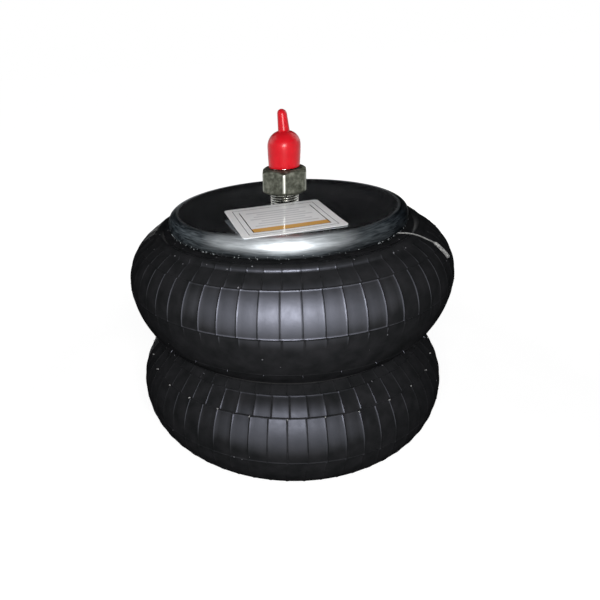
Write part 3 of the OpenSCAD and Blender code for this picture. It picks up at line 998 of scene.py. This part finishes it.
# %% [markdown]
# ## Dull mottled zinc
# The nut's zinc has gone dull and mottled, a grey with some olive in it. Its corners are worn bright: they
# are what lies farthest from the axis. The front corner is made brighter than the rest, which is a painted
# highlight.

# %% Nut finish
WORN_EDGE_R = (15.8, 16.25)
FRONT_HIGHLIGHT_SPAN = (-0.6, -0.9)
CORNER_WEAR_AND_HIGHLIGHT = (0.35, 1.0)
dull_zinc, tree, shader, place = finish("dull_mottled_zinc")
mottle, tone = mottled(tree, place, 3.2, [(0.30, "#3E4037"), (0.5, "#62645A"), (0.72, "#8E9084")],
                       detail=6, roughness=0.65)
from_axis, ahead = off_axis(tree, place)
corner = add(tree, "MapRange", {"Value": from_axis, 1: WORN_EDGE_R[0] * MM, 2: WORN_EDGE_R[1] * MM})
backward = add(tree, "VectorMath DOT_PRODUCT", {0: ahead, 1: BACKWARDS})
# Painted highlight: the front corner is made brightest, on top of the wear on all corners.
wear_and_highlight = add(tree, "MapRange", {"Value": backward, 1: FRONT_HIGHLIGHT_SPAN[0], 2: FRONT_HIGHLIGHT_SPAN[1], 3: CORNER_WEAR_AND_HIGHLIGHT[0], 4: CORNER_WEAR_AND_HIGHLIGHT[1]})
light_and_wear = add(tree, "Math MULTIPLY", {0: corner, 1: wear_and_highlight})
worn_and_highlit_tone = add(tree, "Mix", {0: light_and_wear, 6: tone, 7: linear("#D8DAD0")}, data_type="RGBA")
dull_gloss = add(tree, "MapRange", {"Value": mottle, 1: 0.3, 2: 0.7, 3: 0.42, 4: 0.6})
gloss = add(tree, "Mix", {0: light_and_wear, 2: dull_gloss, 3: 0.3})
pits = add(tree, "Bump", {"Height": mottle, "Strength": 0.3, "Distance": 0.15 * MM})
feed(shader, {"Base Color": worn_and_highlit_tone, "Metallic": 1.0, "Roughness": gloss,
              "Specular Tint": linear("#7A7A7A"), "Normal": pits})
dress(nut, dull_zinc)
dress(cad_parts["blind_nuts"], dull_zinc)
print("finish:", dull_zinc.name)

# %% [markdown]
# ## The red cap
# The cap is dipped: a hot pin goes into liquid vinyl and comes out with a skin on it. So it has no sharp
# edge anywhere. Its wall bulges a little, its dome runs into the pull finger by a fillet, and the finger
# is the drip that hung from the pin's end, and it leans a little. The outline starts at the finger's tip
# and ends inside the dome.

# %% Cap
CAP_GAP = 0.075
CAP_WALL = 1.2
CAP_DOME_R = 9.2
CAP_MOUTH_R = 10.3
CAP_LIP_H = 0.5
CAP_LIP = ((-0.1, 0.15), (-0.25, 0.0))
CAP_LIP_INSIDE = 0.1
CAP_SLACK = 1.4
CAP_COLUMNS = 96
FINGER_ROOT_R = 3.7
FINGER_TIP_R = 3.1
FINGER_FILLET = 1.0
FINGER_LEAN = -1.4
FINGER_BEND = 1.5
cap_low, cap_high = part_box("stud_cap")
cap_foot, cap_tip = cap_low.z / MM, cap_high.z / MM
cap_in_r = STUD_R + CAP_GAP
cap_out_r = cap_in_r + CAP_WALL
dome_z = stud_top - STUD_CHAMFER + CAP_SLACK
dome_x = cap_out_r - CAP_DOME_R
fillet_x = FINGER_ROOT_R + FINGER_FILLET
fillet_up = math.sqrt((CAP_DOME_R + FINGER_FILLET) ** 2 - (fillet_x - dome_x) ** 2)
fillet_turn = math.degrees(math.atan2(fillet_up, fillet_x - dome_x))
finger_foot = dome_z + fillet_up
wall_share = np.linspace(1, 0, 12)[1:]
wall_r = CAP_MOUTH_R + (cap_out_r - CAP_MOUTH_R) * np.sin(wall_share * np.pi / 2)
wall_z = cap_foot + CAP_LIP_H + (dome_z - cap_foot - CAP_LIP_H) * wall_share
outline = np.concatenate([
    arc(0, cap_tip - FINGER_TIP_R, FINGER_TIP_R, 90, 0, 8),
    arc(fillet_x, finger_foot, FINGER_FILLET, 180, 180 + fillet_turn, 8),
    arc(dome_x, dome_z, CAP_DOME_R, fillet_turn, 0, 16)[1:],
    np.stack([wall_r, wall_z], axis=-1),
    [[CAP_MOUTH_R + inward, cap_foot + up] for inward, up in CAP_LIP],
    [[cap_in_r, cap_foot + CAP_LIP_INSIDE], [cap_in_r, dome_z]],
    arc(dome_x, dome_z, CAP_DOME_R - CAP_WALL, 0, 90, 10)[1:],
    [[0, dome_z + CAP_DOME_R - CAP_WALL]],
])
cap_grid = round_axis(outline, even(CAP_COLUMNS))
finger_share = np.clip((cap_grid[..., 2] - finger_foot) / (cap_tip - finger_foot), 0, 1)
cap_grid[..., 0] += FINGER_LEAN * finger_share ** FINGER_BEND
cap = skin("dipped_stud_cap", [cap_grid], ring=False)
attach(cap, "cap")
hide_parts("stud_cap")
print("cap:", round(cap_tip - cap_foot, 1), "mm high")

# %% [markdown]
# ## Dipped vinyl
# Vinyl is glossy, with a refractive index of about 1.54, and its skin keeps slow waves from the dip.

# %% Cap finish
vinyl, tree, shader, place = finish("glossy_dipped_vinyl")
cloud, tone = mottled(tree, place, 8, [(0.3, "#C4101C"), (0.7, "#D41926")])
wave = add(tree, "Bump", {"Height": cloud, "Strength": 0.2, "Distance": 0.2 * MM})
feed(shader, {"Base Color": tone, "Roughness": 0.28, "IOR": 1.54, "Specular IOR Level": 0.22,
              "Normal": wave})
dress(cap, vinyl)
print("finish:", vinyl.name)

# %% [markdown]
# ## A bare label
# A square of coated paper lies on the plate, turned a little, with its back edge propped on the stud, its
# front edge over the rim and its front right side lifting. When the nut is screwed down it presses the
# propped edge flat.

# %% Label sheet
LABEL_W, LABEL_D = 64.0, 54.0
LABEL_MIDDLE = (-7.15, -38.5)
LABEL_TURN = math.radians(8.5)
LABEL_CORNER = 2.5
LABEL_T = 0.2
LABEL_FLOAT = 0.05
LABEL_PROP = 3.0
LABEL_LIFT = 0.35
LIFT_FRONT = (8.0, 18.0)
LIFT_RIGHT = (-8.0, 34.0)
LABEL_RINGS = np.array([0, 0.15, 0.3, 0.45, 0.6, 0.72, 0.82, 0.9, 0.96, 1.0])
CORNER_STEPS = 4
EDGE_STEPS = 12


def rounded_outline(width, depth, corner):
    """Points round a rectangle with round corners."""
    corners = [(1, 1, 0), (-1, 1, 90), (-1, -1, 180), (1, -1, 270)]
    points = np.concatenate([
        arc(sx * (width / 2 - corner), sy * (depth / 2 - corner), corner, a, a + 90, CORNER_STEPS)
        for sx, sy, a in corners])
    return np.concatenate([
        np.linspace(p, q, EDGE_STEPS, endpoint=False) if np.linalg.norm(q - p) > corner else [p]
        for p, q in zip(points, np.roll(points, -1, axis=0))])


flat = LABEL_RINGS[:, None, None] * rounded_outline(LABEL_W, LABEL_D, LABEL_CORNER)
flat_x, flat_y = flat[..., 0], flat[..., 1]
lift = LABEL_LIFT * ease((-flat_y - LIFT_FRONT[0]) / LIFT_FRONT[1])
lift = lift * ease((flat_x - LIFT_RIGHT[0]) / LIFT_RIGHT[1])
prop = LABEL_PROP * np.clip(0.5 + flat_y / LABEL_D, 0, 1)
c, s = math.cos(LABEL_TURN), math.sin(LABEL_TURN)
x = LABEL_MIDDLE[0] + c * flat_x - s * flat_y
y = LABEL_MIDDLE[1] + s * flat_x + c * flat_y
bed = dished(np.hypot(x, y)) + LABEL_FLOAT + lift + prop
under, over = np.stack([x, y, bed], axis=-1), np.stack([x, y, bed + LABEL_T], axis=-1)
label = skin("bare_paper_label", [np.concatenate([under, over[::-1]])], ring=False)
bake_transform(label)
print("label:", LABEL_W, "x", LABEL_D, "mm")

# %% [markdown]
# ## The label's print
# Coated paper is white and glossy. It carries no words here: only a border, a tan band and faint ruled
# lines. The print is worked out from the place on the label, so the lines keep their width in millimetres.
# Each row of the list is a filled box, printed over the ones before it: its ink, middle, width and depth.

# %% Label print
PAPER = "#F4F4F5"
PRINT = [
    ("#606064", 0, 0, 54.8, 45.8), (PAPER, 0, 0, 54.0, 45.0),
    ("#2E2A28", 0, -0.6, 48.0, 37.6), (PAPER, 0, -0.2, 46.8, 37.4),
    ("#DDA85C", 0, -16.0, 46.8, 6.0),
]
PRINT += [("#DADADD", 0, row, 40 - 6 * (row % 3), 1.9) for row in range(-9, 16, 4)]
coated, tree, shader, place = finish("coated_label_paper")
own = add(tree, "Mapping", {"Vector": place, "Location": (*(Vector(LABEL_MIDDLE) * MM), 0),
                            "Rotation": (0, 0, LABEL_TURN)}, vector_type="TEXTURE")
axes = add(tree, "SeparateXYZ", {"Vector": own}).outputs
tooth, colour = mottled(tree, place, 2.5, [(0.3, "#F0F0F1"), (0.7, "#FAFAFA")], detail=6)
for ink, x0, y0, wide, deep in PRINT:
    across = add(tree, "Math COMPARE", {0: axes["X"], 1: x0 * MM, 2: wide / 2 * MM})
    along = add(tree, "Math COMPARE", {0: axes["Y"], 1: y0 * MM, 2: deep / 2 * MM})
    here = add(tree, "Math MULTIPLY", {0: across, 1: along})
    colour = add(tree, "Mix", {0: here, 6: colour, 7: linear(ink)}, data_type="RGBA")
gloss = add(tree, "MapRange", {"Value": tooth, 1: 0.3, 2: 0.7, 3: 0.07, 4: 0.12})
feed(shader, {"Base Color": colour, "Roughness": gloss, "IOR": 1.5})
label.data.materials.append(coated)
print("print:", len(PRINT), "boxes, no words")

# %% [markdown]
# ## Pieces that keep their CAD shape
# The bead wires, the chafer strips round them and the girdle hoop are simple turned forms that hardly
# show, so their solids stay and only the finish is new: bronze-coated wire, rubbered canvas, black
# stove enamel on steel.

# %% Wire, chafer and hoop
wire, tree, shader, place = finish("bronze_coated_wire")
_, tone = mottled(tree, place, 1.5, [(0.3, "#8C6A3A"), (0.7, "#B89055")])
feed(shader, {"Base Color": tone, "Metallic": 1.0, "Roughness": 0.35})

canvas, tree, shader, place = finish("rubbered_canvas")
weave = add(tree, "TexChecker", {"Vector": place, "Scale": per_metre(1.0), "Color1": linear("#1A1A1C"),
                                 "Color2": linear("#2A2A2D")})
feed(shader, {"Base Color": weave, "Roughness": 0.8})

enamel, tree, shader, place = finish("black_stove_enamel")
_, tone = mottled(tree, place, 5, [(0.3, "#0E0E0F"), (0.7, "#19191A")])
feed(shader, {"Base Color": tone, "Roughness": 0.4})

for half_name in SIDES:
    dress(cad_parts[f"{half_name}_bead_wire"], wire)
    dress(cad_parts[f"{half_name}_bead_chafer"], canvas)
dress(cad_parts["girdle_hoop"], enamel)
print("CAD pieces dressed:", [n for n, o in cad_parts.items() if not o.hide_render])
